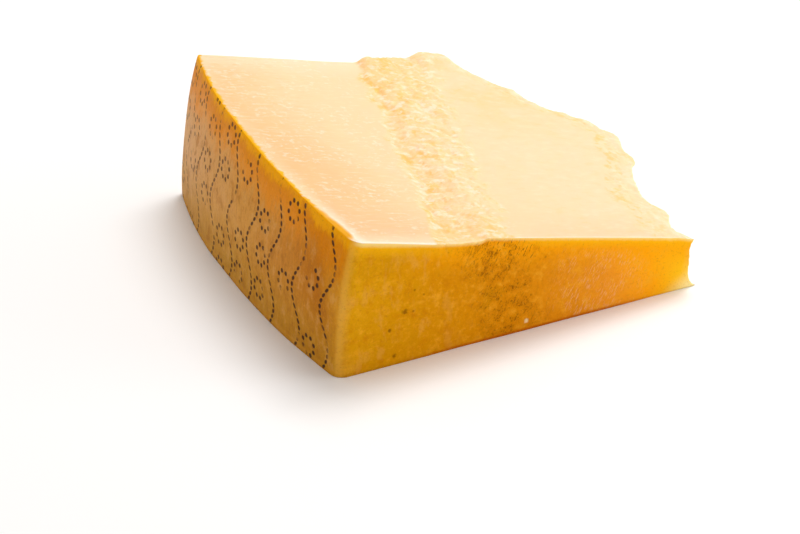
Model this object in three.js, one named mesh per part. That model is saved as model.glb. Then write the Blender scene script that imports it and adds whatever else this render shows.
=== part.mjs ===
// A chunk of hard, grainy cheese: a wedge from a large wheel, lying on one of its two radial cuts.
// Units are millimetres and +Z is up. The shape is worked out in the wheel's own frame: x runs from the
// side rind (x = 0) to the wheel's axis (x = WHEEL_RADIUS), y runs along that axis from the flat rind
// (y = 0) to the cut at the back, and z = 0 is the lower cut, which the chunk rests on.
// At the end the origin is moved to the middle of the bounding box's underside.
import * as THREE from "three";
import { ParametricGeometry } from "three/addons/geometries/ParametricGeometry.js";
import { mergeGeometries, mergeVertices } from "three/addons/utils/BufferGeometryUtils.js";

// The wheel
const WHEEL_RADIUS = 200;
const BELLY = 4.8; // how far the side rind bows out between its ends
const BELLY_DEPTH = 62; // where it bows out most
const BELLY_POWER = 2.4; // how flat it is there
const RIND_CORNER = 4; // rounding where the side rind meets the flat rind
const RIND_DENT = 0.5; // shallow dents of the rind, inwards only
const RIND_DENT_SIZE = 34;

// The smooth cuts and the step between the two halves of the upper one
const DEPTH = 147; // from the flat rind to the cut at the back
const CUT_SLOPE = 0.264; // how fast the wedge thins towards the axis
const CUT_RISE = 0.051; // how fast the upper cut climbs towards the back
const CUT_WAVE = 0.35; // gentle waves that the knife leaves
const CUT_WAVE_SIZE = 38;
const CUT_STEP = 2.6; // the heart's half of the upper cut stands this much higher
const CUT_LIFT = 0.016; // and thins this much slower at the front
const BACK_WAVE = 0.7; // waves of the cut at the back
const BACK_WAVE_SIZE = 21;

// The tear that crosses the upper cut, where the knife stopped and the paste split by itself.
// Places across the tear are shares of its width.
const TEAR_LEFT = { front: 38, lean: 0.272, flare: 0 };
const TEAR_RIGHT = { front: 66, lean: 0.27, flare: 0.0003 };
const TEAR_MARGIN = 3; // rough ground beyond each border, in millimetres
const TEAR_RAGGED = 0.08; // how far its borders wander
const TEAR_RAGGED_SIZE = 9;
const TEAR_FADE = 0.15; // how soon the relief starts inside the borders
const TEAR_TROUGH = 1.3;
const TEAR_LUMP = 0.6;
const TEAR_LUMP_SIZE = 8;
const TEAR_FLAKE = 0.35;
const TEAR_FLAKE_SIZE = { along: 9, across: 6 };
const STEP_PLACE = { front: 0.61, back: 0.12 };
const STEP_HALF_WIDTH = { face: 0.07, inside: 0.22 }; // sharp at the front and back, soft in between
const STEP_RAMP = 0.45; // this share of the step is a gentle climb from the tear's left border

// The broken end towards the heart of the wheel, as [depth, reach] pairs along its upper edge
const BREAK_EDGE = [
  [0, 141], [8, 136.5], [20, 141.5], [31, 138.5], [47, 144], [57, 149], [63, 154], [72, 154],
  [84, 158.5], [89, 154.5], [97, 154], [104, 145], [110, 138.4], [121, 135.2], [126, 130.8], [147, 118],
];
const BREAK_HOLLOW = 2.2; // the broken face falls back between its upper and lower edge
const BREAK_LIP_POWER = 6; // how thin the lips at those edges are
const BREAK_FOOT = 1.2; // the lower lip reaches this much further
const BREAK_CRAG = 2;
const BREAK_CRAG_SIZE = 11;
const BREAK_FLAKE = 1.3;
const BREAK_FLAKE_SIZE = { along: 16, across: 8 };
const BREAK_CALM = 12; // the crags reach their full size this far from the flat rind
const CRUMBLE_WIDTH = { front: 19, back: 9 }; // rough ground on the upper cut beside the broken end
const CRUMBLE_DROP = 0.5;
const CRUMBLE_LUMP = 0.65;
const SMOOTH_LEAST = 4; // smooth ground that is left between the tear and the crumble

// The knob at the back edge, where the tear runs out; its power says how flat its top is
const KNOB = { x: 111.5, radius: 8.5, power: 4, height: 2.8, reach: 1.2, depth: 12 };

// Grid lines: from the side rind over the tear's borders and the crumble to the broken end, then in depth
const LINES_ACROSS = [10, 20, 12, 9];
const LINES_ROUND_CORNER = 4;
const LINES_ALONG = 54;
const LINES_UP = 9;
const FACE_FADE = 12; // how quickly the relief of the front and back dies out inwards, as a power
const SETTLE_ROUNDS = 6; // x and z depend on each other, and settle in a few rounds

const PASTE = { color: 0xfbdfac, roughness: 0.55, metalness: 0 };

const clamp = (t) => Math.min(1, Math.max(0, t));
const lerp = THREE.MathUtils.lerp;
const smoothstep = THREE.MathUtils.smoothstep;

// A repeatable random number from 0 to 1 for a point of a whole-number grid.
function chance(i, j) {
  const s = Math.sin(i * 127.1 + j * 311.7) * 43758.5453;
  return s - Math.floor(s);
}

// Smooth random hills between about -1 and 1, one hill to each unit.
function hills(x, y) {
  const i = Math.floor(x);
  const j = Math.floor(y);
  const fx = x - i;
  const fy = y - j;
  const pull = (di, dj) => {
    const angle = 2 * Math.PI * chance(i + di, j + dj);
    return Math.cos(angle) * (fx - di) + Math.sin(angle) * (fy - dj);
  };
  const ease = (t) => t * t * t * (t * (t * 6 - 15) + 10);
  const low = lerp(pull(0, 0), pull(1, 0), ease(fx));
  const high = lerp(pull(0, 1), pull(1, 1), ease(fx));
  return 1.5 * lerp(low, high, ease(fy));
}

// Hills of the given size with hills of half their size and height on them.
function rough(x, y, size) {
  return hills(x / size, y / size) + 0.5 * hills((2 * x) / size + 17, (2 * y) / size + 5);
}

// Sharp-crested flakes, longer along the first direction than across it and a little askew.
function flakes(x, y, size) {
  const crest = Math.abs(hills(x / size.along + 3, (y + x / 4) / size.across + 8));
  return 1 - 2.5 * crest;
}

// A smooth curve through [place, value] pairs.
function curveThrough(pairs, place) {
  const last = pairs.length - 1;
  const slope = (k) => {
    const [p0, v0] = pairs[Math.max(0, k - 1)];
    const [p1, v1] = pairs[Math.min(last, k + 1)];
    return (v1 - v0) / (p1 - p0);
  };
  let k = 0;
  while (k < last - 1 && place > pairs[k + 1][0]) k++;
  const [p0, v0] = pairs[k];
  const [p1, v1] = pairs[k + 1];
  const gap = p1 - p0;
  const t = clamp((place - p0) / gap);
  const bend = t * (1 - t) * gap;
  return lerp(v0, v1, t * t * (3 - 2 * t)) + bend * ((1 - t) * slope(k) - t * slope(k + 1));
}

// The side rind: the wheel's round, bowed side, rounded off towards the flat rind.
function sideRind(y, z) {
  const away = Math.abs(y - BELLY_DEPTH) / BELLY_DEPTH;
  const radius = WHEEL_RADIUS + BELLY * (1 - away ** BELLY_POWER);
  const fromCorner = Math.min(1, y / RIND_CORNER);
  const corner = RIND_CORNER * (1 - Math.sqrt(1 - (1 - fromCorner) ** 2));
  const dent = RIND_DENT * Math.max(0, hills(y / RIND_DENT_SIZE, z / RIND_DENT_SIZE + 4));
  return WHEEL_RADIUS - Math.sqrt(radius * radius - z * z) + corner + dent;
}

const tearBorder = (border, y) => border.front + border.lean * y + border.flare * y * y;
const breakEdge = (y) => curveThrough(BREAK_EDGE, y);
const crumbleStart = (y) => breakEdge(y) - lerp(CRUMBLE_WIDTH.front, CRUMBLE_WIDTH.back, y / DEPTH);
const roughStart = (y) => tearBorder(TEAR_LEFT, y) - TEAR_MARGIN;
const roughEnd = (y) => Math.min(tearBorder(TEAR_RIGHT, y) + TEAR_MARGIN, crumbleStart(y) - SMOOTH_LEAST);

// The broken end at height z, a share w of the full height: hollow and craggy below its upper edge.
function brokenEnd(y, z, w) {
  const below = Math.sqrt(1 - w);
  const hollow = BREAK_HOLLOW * (1 - (2 * w - 1) ** BREAK_LIP_POWER);
  const foot = BREAK_FOOT * (1 - w) ** (2 * BREAK_LIP_POWER);
  const crags = BREAK_CRAG * rough(y, z, BREAK_CRAG_SIZE) + BREAK_FLAKE * flakes(z, y, BREAK_FLAKE_SIZE);
  return breakEdge(y) - hollow + foot + below * smoothstep(y, 0, BREAK_CALM) * crags;
}

// The step and the tear of the upper cut, above the lower half's plane.
function stepAndTear(x, y) {
  const left = tearBorder(TEAR_LEFT, y);
  const width = tearBorder(TEAR_RIGHT, y) - left;
  const wander = TEAR_RAGGED * hills(x / TEAR_RAGGED_SIZE, y / TEAR_RAGGED_SIZE);
  const across = (x - left) / width + wander;
  const share = y / DEPTH;
  const place = lerp(STEP_PLACE.front, STEP_PLACE.back, share);
  const inside = 1 - share ** FACE_FADE - (1 - share) ** FACE_FADE;
  const halfWidth = lerp(STEP_HALF_WIDTH.face, STEP_HALF_WIDTH.inside, inside);
  const climb = smoothstep(across, place - halfWidth, place + halfWidth);
  const climbed = lerp(climb, smoothstep(across, 0, place), STEP_RAMP);
  const lift = CUT_LIFT * Math.max(0, x - left) * (1 - share);
  const torn = smoothstep(across, 0, TEAR_FADE) * (1 - smoothstep(across, 1 - TEAR_FADE, 1));
  const lumps = TEAR_LUMP * rough(x, y, TEAR_LUMP_SIZE) + TEAR_FLAKE * flakes(x, y, TEAR_FLAKE_SIZE);
  const relief = lumps - TEAR_TROUGH * (1 - clamp(across));
  return climbed * (CUT_STEP + lift) + inside * torn * relief;
}

// The rough ground on the upper cut beside the broken end.
function crumble(x, y) {
  const start = crumbleStart(y);
  const worn = clamp((x - start) / (breakEdge(y) - start));
  return worn * (CRUMBLE_LUMP * rough(x + 40, y, TEAR_LUMP_SIZE) - CRUMBLE_DROP * worn);
}

const knobAt = (x) => Math.exp(-(((x - KNOB.x) / KNOB.radius) ** KNOB.power));

// The height of the upper cut.
function upperCut(x, y) {
  const plane = CUT_SLOPE * (WHEEL_RADIUS - x) + CUT_RISE * y;
  const wave = CUT_WAVE * hills(x / CUT_WAVE_SIZE, y / CUT_WAVE_SIZE);
  const knob = KNOB.height * knobAt(x) * Math.exp(-(((DEPTH - y) / KNOB.depth) ** 2));
  return plane + wave + knob + stepAndTear(x, y) + crumble(x, y);
}

// The depth y with the dents of the flat rind and the waves and knob of the cut at the back.
function unevenDepth(x, y, z) {
  const dent = RIND_DENT * Math.max(0, hills(x / RIND_DENT_SIZE + 9, z / RIND_DENT_SIZE));
  const back = KNOB.reach * knobAt(x) + BACK_WAVE * hills(x / BACK_WAVE_SIZE, z / BACK_WAVE_SIZE + 2);
  const share = y / DEPTH;
  return y + dent * (1 - share) ** FACE_FADE + back * share ** FACE_FADE;
}

// The point of the chunk at grid place u across (0 to 4), depth y and share w of the height.
function chunkPoint(u, y, w) {
  const k = Math.min(3, Math.floor(u));
  let x = 0;
  let z = 0;
  for (let round = 0; round < SETTLE_ROUNDS; round++) {
    const borders = [
      sideRind(y, z),
      roughStart(y),
      roughEnd(y),
      crumbleStart(y),
      brokenEnd(y, z, w),
    ];
    x = lerp(borders[k], borders[k + 1], u - k);
    z = w * upperCut(x, y);
  }
  return new THREE.Vector3(x, unevenDepth(x, y, z), z);
}

// Grid places across the chunk, from 0 at the side rind to 4 at the broken end.
const across = [0];
LINES_ACROSS.forEach((count, k) => {
  for (let i = 1; i <= count; i++) across.push(k + i / count);
});

// Grid depths: even turns round the rind's corner, then even steps.
const along = [];
for (let i = 0; i < LINES_ROUND_CORNER; i++) {
  along.push(RIND_CORNER * (1 - Math.cos((i / LINES_ROUND_CORNER) * (Math.PI / 2))));
}
for (let i = 0; i <= LINES_ALONG; i++) along.push(lerp(RIND_CORNER, DEPTH, i / LINES_ALONG));

const columns = across.length - 1;
const rows = along.length - 1;
const [leftEnd, rightEnd] = [across[0], across[columns]];

// One face of the chunk as a grid; place turns two shares from 0 to 1 into a point.
function face(place, steps, levels) {
  const geometry = new ParametricGeometry((s, t, target) => target.copy(place(s, t)), steps, levels);
  geometry.deleteAttribute("normal");
  geometry.deleteAttribute("uv");
  return geometry;
}

const pick = (list, share) => list[Math.round(share * (list.length - 1))];
const faces = [
  face((s, t) => chunkPoint(pick(across, s), pick(along, t), 1), columns, rows),
  face((s, t) => chunkPoint(leftEnd, pick(along, 1 - s), t), rows, LINES_UP),
  face((s, t) => chunkPoint(pick(across, s), 0, t), columns, LINES_UP),
  face((s, t) => chunkPoint(rightEnd, pick(along, s), t), rows, LINES_UP),
  face((s, t) => chunkPoint(pick(across, 1 - s), DEPTH, t), columns, LINES_UP),
  lowerCut(),
];

// The lower cut is flat: a fan of triangles from its middle to its rim.
function lowerCut() {
  const rim = [
    ...across.map((u) => chunkPoint(u, 0, 0)),
    ...along.slice(1).map((y) => chunkPoint(rightEnd, y, 0)),
    ...across.toReversed().slice(1).map((u) => chunkPoint(u, DEPTH, 0)),
    ...along.toReversed().slice(1, -1).map((y) => chunkPoint(leftEnd, y, 0)),
  ];
  const centre = new THREE.Vector3();
  rim.forEach((point) => centre.addScaledVector(point, 1 / rim.length));
  const points = [centre, ...rim].flatMap((point) => point.toArray());
  const index = rim.flatMap((_, i) => [0, ((i + 1) % rim.length) + 1, i + 1]);
  return new THREE.BufferGeometry()
    .setAttribute("position", new THREE.Float32BufferAttribute(points, 3))
    .setIndex(index);
}

const chunk = mergeVertices(mergeGeometries(faces), 1e-3);
chunk.computeBoundingBox();
const middle = chunk.boundingBox.getCenter(new THREE.Vector3());
chunk.translate(-middle.x, -middle.y, 0);
chunk.computeVertexNormals();

const cheese = new THREE.Mesh(chunk, new THREE.MeshStandardMaterial(PASTE));
cheese.name = "cheese";

const group = new THREE.Group();
group.add(cheese);

export default group;
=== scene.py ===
import itertools
import math

import bpy
import numpy as np
from mathutils import Matrix, Vector


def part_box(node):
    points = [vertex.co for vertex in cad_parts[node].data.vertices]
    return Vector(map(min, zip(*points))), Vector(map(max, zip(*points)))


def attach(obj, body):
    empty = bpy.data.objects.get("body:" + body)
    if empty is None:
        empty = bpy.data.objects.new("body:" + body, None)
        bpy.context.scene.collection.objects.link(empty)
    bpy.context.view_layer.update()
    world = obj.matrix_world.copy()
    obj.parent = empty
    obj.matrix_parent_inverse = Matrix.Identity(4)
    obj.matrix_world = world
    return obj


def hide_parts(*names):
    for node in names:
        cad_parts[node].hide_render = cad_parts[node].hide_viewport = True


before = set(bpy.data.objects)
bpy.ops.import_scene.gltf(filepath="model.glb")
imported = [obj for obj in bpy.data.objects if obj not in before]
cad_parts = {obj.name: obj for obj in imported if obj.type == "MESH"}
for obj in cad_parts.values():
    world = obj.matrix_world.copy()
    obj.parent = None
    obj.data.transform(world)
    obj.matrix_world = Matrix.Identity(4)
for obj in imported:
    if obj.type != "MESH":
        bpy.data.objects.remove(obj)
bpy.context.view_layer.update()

MM = 0.001  # metres

# Random hills and flakes
HILL_HEIGHT = 1.5  # brings the hills to about 1
FLAKE_STEEPNESS = 2.5  # how fast flakes fall from their crests
FLAKE_SKEW = 0.25  # how far they run askew

# The wheel
WHEEL_RADIUS = 200
BELLY = 4.8  # how far the side rind bows out between its ends
BELLY_DEPTH = 62  # where it bows out most
BELLY_POWER = 2.4  # how flat it is there
RIND_CORNER = 4  # rounding where the side rind meets the flat rind
RIND_DENT = 0.5  # shallow dents of the rind, inwards only
RIND_DENT_SIZE = 34

# The smooth cuts and the step between the two halves of the upper one
DEPTH = 147  # from the flat rind to the cut at the back
CUT_SLOPE = 0.264  # how fast the wedge thins towards the axis
CUT_RISE = 0.051  # how fast the upper cut climbs towards the back
CUT_WAVE = 0.35  # gentle waves that the knife leaves
CUT_WAVE_SIZE = 38
CUT_STEP = 2.6  # the heart's half of the upper cut stands this much higher
CUT_LIFT = 0.016  # and thins this much slower at the front
BACK_WAVE = 0.7  # waves of the cut at the back
BACK_WAVE_SIZE = 21

# The tear across the upper cut, where the paste split by itself; places across it are shares of its width
TEAR_LEFT = {"front": 38, "lean": 0.272, "flare": 0}
TEAR_RIGHT = {"front": 66, "lean": 0.27, "flare": 0.0003}
TEAR_MARGIN = 3  # rough ground beyond each border, in millimetres
TEAR_RAGGED = 0.08  # how far its borders wander
TEAR_RAGGED_SIZE = 9
TEAR_FADE = 0.15  # how soon the relief starts inside the borders
TEAR_TROUGH = 1.3
TEAR_LUMP = 0.6
TEAR_LUMP_SIZE = 8
TEAR_FLAKE = 0.35
TEAR_FLAKE_SIZE = {"along": 9, "across": 6}
STEP_PLACE = {"front": 0.61, "back": 0.12}
STEP_HALF_WIDTH = {"face": 0.07, "inside": 0.22}  # sharp at the front and back, soft in between
STEP_RAMP = 0.45  # this share of the step is a gentle climb from the tear's left border

# The broken end towards the heart of the wheel, as (depth, reach) pairs along its upper edge
BREAK_EDGE = [
    (0, 141), (8, 136.5), (20, 141.5), (31, 138.5), (47, 144), (57, 149), (63, 154), (72, 154),
    (84, 158.5), (89, 154.5), (97, 154), (104, 145), (110, 138.4), (121, 135.2), (126, 130.8), (147, 118),
]
BREAK_HOLLOW = 2.2  # the broken face falls back between its upper and lower edge
BREAK_LIP_POWER = 6  # how thin the lips at those edges are
BREAK_FOOT = 1.2  # the lower lip reaches this much further
BREAK_CRAG = 2
BREAK_CRAG_SIZE = 11
BREAK_FLAKE = 1.3
BREAK_FLAKE_SIZE = {"along": 16, "across": 8}
BREAK_CALM = 12  # the crags reach their full size this far from the flat rind
CRUMBLE_WIDTH = {"front": 19, "back": 9}  # rough ground on the upper cut beside the broken end
CRUMBLE_DROP = 0.5
CRUMBLE_LUMP = 0.65
SMOOTH_LEAST = 4  # smooth ground that is left between the tear and the crumble

# The knob at the back edge, where the tear runs out; its power says how flat its top is
KNOB = {"x": 111.5, "radius": 8.5, "power": 4, "height": 2.8, "reach": 1.2, "depth": 12}
FACE_FADE = 12  # how quickly the relief of the front and back dies out inwards, as a power
SETTLE_ROUNDS = 6  # x and z depend on each other, and settle in a few rounds

# Grid lines: across in strips from the side rind over the tear's borders and the crumble to the broken end,
# then in depth and up
LINES_ACROSS = (48, 88, 44, 36)
STRIPS = len(LINES_ACROSS)
LINES_ROUND_CORNER = 10
LINES_ALONG = 244
LINES_UP = 40
CROWD_RIND = 1.3  # how much closer the lines lie beside the side rind, as a power
CROWD_TOP = 1.3  # and towards the upper cut
EDGE_ROUNDS = 4  # rounds of smoothing that soften the edges of the cuts
EDGE_PULL = 0.8  # how far a point moves towards its neighbours in a round
EDGE_SPREAD = 2  # how many lines beside an edge are softened with it

# Fine relief of the split paste: packed grains, in two sizes
GRAIN_SIZES = (2.8, 1.4)
GRAIN_HEIGHTS = (0.4, 0.28)
GRAIN_MIDDLE = 0.6  # the grains' mean height, which stays on the solid's surface
GRAIN_WARP = 1.4  # how far the grains are pushed out of their rows
GRAIN_WARP_SIZE = 6
GRAIN_START = 0.05  # how soon the grains start at the tear's left border
GRAIN_END = (0.9, 1.1)  # where they end at its right border
GRAIN_FRAY = 0.14  # how far that end wanders
GRAIN_FRAY_SIZE = 4.5
GRAIN_WORN = 0.7  # the grains of the crumble are full from this share of its width
END_MARGIN = 0.08  # rough ground on the walls beside the broken end, as a share of the crumble's width
RIM_MARGIN = 0.97  # rough ground below the upper cut's rim starts at this share of the height

# Rougher grains and upright ridges on the broken end, from a little below its upper edge
END_START = (0.02, 0.15)  # as shares of the height
END_GRAIN = 1.2  # how much higher its grains are
END_RIDGE = 0.45
END_RIDGE_SIZE = {"along": 11, "across": 4}

# Charts of the surface for textures: two axes of the frame, and where the chart's origin lies
CHARTS = {
    "upper_cut": ((0, 1), (10, 0)),
    "side_rind": ((1, 2), (0, 155)),
    "flat_rind": ((0, 2), (160, 155)),
    "broken_end": ((1, 2), (160, 218)),
    "back_cut": ((0, 2), (10, 218)),
    "lower_cut": ((0, 1), (185, 0)),
}
CHART_SPAN = 350
RIND_SHEETS = ("side_rind", "flat_rind")

# Colours of the paste, in steps of 0 to 255; the list goes by the distance from the side rind
PASTE_SHADES = [
    (0, (244, 213, 175)),
    (3, (243, 203, 161)),
    (8, (242, 189, 137)),
    (22, (242, 193, 142)),
    (40, (244, 204, 158)),
    (70, (244, 208, 165)),
    (110, (244, 210, 170)),
]
PASTE_CREAM = (244, 209, 165)
PASTE_BLUSH = (246, 192, 150)
PASTE_PEACH = (243, 188, 132)
PASTE_PALE = (248, 224, 192)
PASTE_FLECK = (253, 238, 222)
PASTE_GOLD = (246, 188, 88)
PASTE_SPLIT = (248, 212, 161)
PASTE_LEMON = (248, 214, 176)
PASTE_AMBER = (244, 200, 92)
RIND_EDGE = (255, 178, 4)

# Colours of the flat rind; the list goes by x. Its last two stops, bright yellow at the thin end towards the
# heart, are painted glow where light shines through that end
FLAT_SHADES = [
    (-4, (232, 176, 80)),
    (6, (223, 160, 8)),
    (20, (219, 151, 0)),
    (42, (218, 141, 0)),
    (64, (222, 138, 0)),
    (86, (225, 141, 14)),
    (106, (238, 150, 34)),
    (122, (255, 169, 10)),
    (134, (255, 194, 24)),
    (142, (255, 222, 120)),
]
FLAT_ORANGE_GLOW = (255, 166, 0)
FLAT_OLIVE = (206, 142, 0)
FLAT_BROWN = (200, 118, 0)
FLAT_PALE = (244, 174, 44)
FLAT_STAIN = (110, 60, 0)
FLAT_SCRATCH = (252, 196, 146)
FLAT_RIM_GLOW = (255, 188, 12)
FLAT_FOOT_SHADOW = (200, 96, 0)
FLAT_CHIP = (250, 226, 176)
FLAT_TAN = (228, 164, 66)
FLAT_LIP_GLOW = (255, 236, 170)
FLAT_CREST_PASTE_AND_HIGHLIGHT = (255, 220, 136)

# Colours of the side rind; the list goes by depth
SIDE_SHADES = [
    (0, (210, 142, 36)),
    (10, (190, 112, 16)),
    (34, (204, 132, 44)),
    (76, (216, 154, 72)),
    (140, (226, 174, 120)),
]
SIDE_OLIVE = (192, 138, 36)
SIDE_BROWN = (170, 104, 34)
SIDE_PALE = (226, 170, 96)
SIDE_FOOT_BOUNCE_LIGHT = (222, 156, 40)
SIDE_ORANGE_GLOW = (226, 134, 0)
SIDE_GLOW = (252, 156, 40)
CORNER_HIGHLIGHT = (246, 190, 84)
MARK_INK = (62, 42, 32)

# How far a cloudy noise shifts the lists of shades along
PASTE_SWAY = 14
FLAT_SWAY = 16
SIDE_SWAY = 36

# Noises of the paste: the size of their clouds, as one length or one for each axis
PASTE_NOISES = {
    "cloud": {"size": 24, "detail": 3},
    "streaks": {"size": (8, 1.2, 3), "detail": 4, "roughness": 0.6},
    "faint": {"size": (7, 3, 3), "detail": 5, "roughness": 0.65},
    "clusters": {"size": 15},
    "chalk": {"size": (2.6, 1.9, 1.9), "detail": 4, "roughness": 0.65},
    "smears": {"size": (6, 10, 5), "detail": 3, "roughness": 0.6},
    "mottles": {"size": 4, "detail": 3, "roughness": 0.6},
    "grit": {"size": 1.5, "roughness": 0.55},
    "crumbs": {"size": (3.8, 2.8, 2.8), "detail": 3, "roughness": 0.58},
    "ridges": {"size": (2.2, 2.2, 8), "detail": 4, "roughness": 0.62},
    "glints": {"size": (1.0, 1.0, 1.4), "detail": 3, "roughness": 0.6},
    "fray": {"size": (6, 4.5, 6), "detail": 4, "roughness": 0.6},
    "fine": {"size": 0.9, "detail": 4, "roughness": 0.65},
    "coarse": {"size": 3},
}

# Layers of colour, from the lowest up: the colour, the most that it covers, and its limits. A limit is the
# name of a field, or a field with the values where the layer is absent and full and maybe its least share.
# Fields are the place x, y, z, the noises, and the mesh's own looks: side_depth is the distance from the side
# rind, below_edge that from the upper cut, side is 0 on the flat rind and 1 on the side, and the rest say
# how far the ground is split, worn or broken, and its relief. The first list is for paste that a knife cut.
CUT_LAYERS = [
    # cream towards the back, blush along the front edge, gold beyond the tear
    (PASTE_CREAM, 0.6, ("y", 50, 125), ("side_depth", 3, 10)),
    (PASTE_BLUSH, 0.6, ("y", 36, 3), ("x", 80, 30), ("side_depth", 2, 8)),
    (PASTE_BLUSH, 0.35, ("y", 24, 2), ("x", 60, 90)),
    (PASTE_GOLD, 0.25, ("cloud", 0.45, 0.62), ("x", 92, 112), ("y", 70, 112)),
    # peach beside the side rind and pale along the back edge
    (PASTE_PEACH, 0.5, ("side_depth", 30, 6), ("y", 36, 70)),
    (PASTE_PALE, 0.5, ("y", 128, 146), ("x", 95, 70)),
    # streaks that the knife drew
    (PASTE_PEACH, 0.5, ("streaks", 0.48, 0.3), ("side_depth", 60, 12)),
    (PASTE_PALE, 0.4, ("streaks", 0.54, 0.72), ("x", 110, 50)),
    (PASTE_PALE, 0.3, ("faint", 0.5, 0.68), ("x", 60, 100)),
    (PASTE_GOLD, 0.16, ("faint", 0.47, 0.32), ("x", 60, 100)),
    # clusters of chalky flecks
    (PASTE_FLECK, 0.42, ("chalk", 0.52, 0.68), ("clusters", 0.36, 0.54), ("x", 84, 56)),
    # a paler band along the front edge, and a painted highlight on the rounded edge itself, which is thinner
    # beyond the step
    (PASTE_PALE, 0.5, ("y", 9, 1), ("x", 75, 50)),
    (PASTE_FLECK, 0.7, ("y", 1.5, 0.5), ("x", 56, 46)),
    (PASTE_FLECK, 0.5, ("y", 0.8, 0.2), ("x", 52, 60)),
]

# Paste that split by itself
SPLIT_LAYERS = [
    (PASTE_SPLIT, 0.6, "split"),
    (PASTE_LEMON, 0.7, ("worn", 0.2, 0.9)),
    # golden smears, more of them at the tear's left border, and golden ends of the tear
    (PASTE_GOLD, 0.75, ("smears", 0.5, 0.66), "split", ("tear_x", 62, 46, 0.4)),
    (PASTE_GOLD, 0.28, "split", ("y", 24, 6), ("x", 108, 92)),
    (PASTE_GOLD, 0.28, "split", ("y", 100, 135), ("x", 108, 92)),
    # golden mottles where the crumble starts, and painted shade in gold in the hollows
    (PASTE_GOLD, 0.5, ("mottles", 0.48, 0.62), ("worn", 0.05, 0.25), ("worn", 0.75, 0.35), ("y", 112, 92)),
    (PASTE_GOLD, 0.36, ("relief", -0.1, -1.6), "split"),
    # grit and white crumbs
    (PASTE_GOLD, 0.25, ("grit", 0.46, 0.3), "calm"),
    (PASTE_PALE, 0.3, ("grit", 0.53, 0.68), "calm"),
    (PASTE_FLECK, 0.5, ("crumbs", 0.5, 0.66), "calm"),
]
WORN_CALM = 0.7  # how much less grit and crumbs there are on worn ground

# The broken end: amber with upright ridges, a painted highlight on its crests, painted shade in gold in its
# hollows, and painted white glints
BROKEN_LAYERS = [
    (PASTE_AMBER, 0.75, "broken"),
    (PASTE_SPLIT, 0.6, ("ridges", 0.5, 0.68), "broken"),
    (PASTE_GOLD, 0.45, ("ridges", 0.47, 0.32), "broken"),
    (PASTE_SPLIT, 0.6, ("relief", 0.15, 0.8), "broken"),
    (PASTE_GOLD, 0.5, ("relief", -0.1, -0.9), "broken"),
    (PASTE_FLECK, 0.7, ("glints", 0.58, 0.68), "broken"),
]

# The rim of rind along the upper cut: a pale halo near the corner with the flat rind, then the rim itself,
# which is soft and bulges near that corner and is frayed towards the back
RIM_TURN = (30, 14)  # the depths between which the rim goes over into that of the corner
RIM_LAYERS = [
    (PASTE_FLECK, 0.55, ("y", *RIM_TURN), ("side_depth", 8, 2)),
    (RIND_EDGE, 1, "rim"),
    # olive over the rim near the corner is painted shade
    (FLAT_OLIVE, 0.6, "rim", ("y", 40, 12)),
]
RIM_WIDTH = {"back": (1.7, 0.5), "corner": (2.8, 0.8)}
RIM_FRAY = {"back": 7, "corner": 1.2}
RIM_BULGE = 1.1
RIM_BULGE_LIMITS = [("y", 2, 7), ("y", 24, 12)]
RIM_START = (1, 5)  # how soon the rim starts behind the flat rind

# Noises of the rind; the finest ones lean from upright towards the heart, by an angle in radians
SCRATCH_LEAN = 0.45
RIND_NOISES = {
    "cloud": {"size": 18, "detail": 3},
    "mottle": {"size": 5, "detail": 4, "roughness": 0.6},
    "speck": {"size": 2.0, "detail": 3, "roughness": 0.6},
    "smudge": {"size": (9, 9, 15), "detail": 3},
    "streaks": {"size": (5, 5, 11), "detail": 4, "roughness": 0.6},
    "clusters": {"size": 5, "detail": 3, "roughness": 0.6},
    "speckle": {"size": (0.6, 0.6, 0.9), "roughness": 0.6, "lean": SCRATCH_LEAN},
    "blots": {"size": (1.3, 1.3, 1.8), "detail": 3, "roughness": 0.6, "lean": SCRATCH_LEAN},
    "dashes": {"size": (0.7, 0.7, 2.2), "lean": SCRATCH_LEAN},
    "lines": {"size": (0.38, 0.38, 2.4), "detail": 3, "lean": SCRATCH_LEAN},
    "patches": {"size": 8},
    "side_cloud": {"size": 20, "detail": 3},
    "side_mottle": {"size": (4, 4, 6), "detail": 4, "roughness": 0.6},
    "weave": {"size": (1.8, 1.0, 4.5), "detail": 3},
    "wear": {"size": 9},
    "crest": {"size": 1.6, "detail": 3},
    "fine": {"size": 0.9, "detail": 4, "roughness": 0.7},
}

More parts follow.
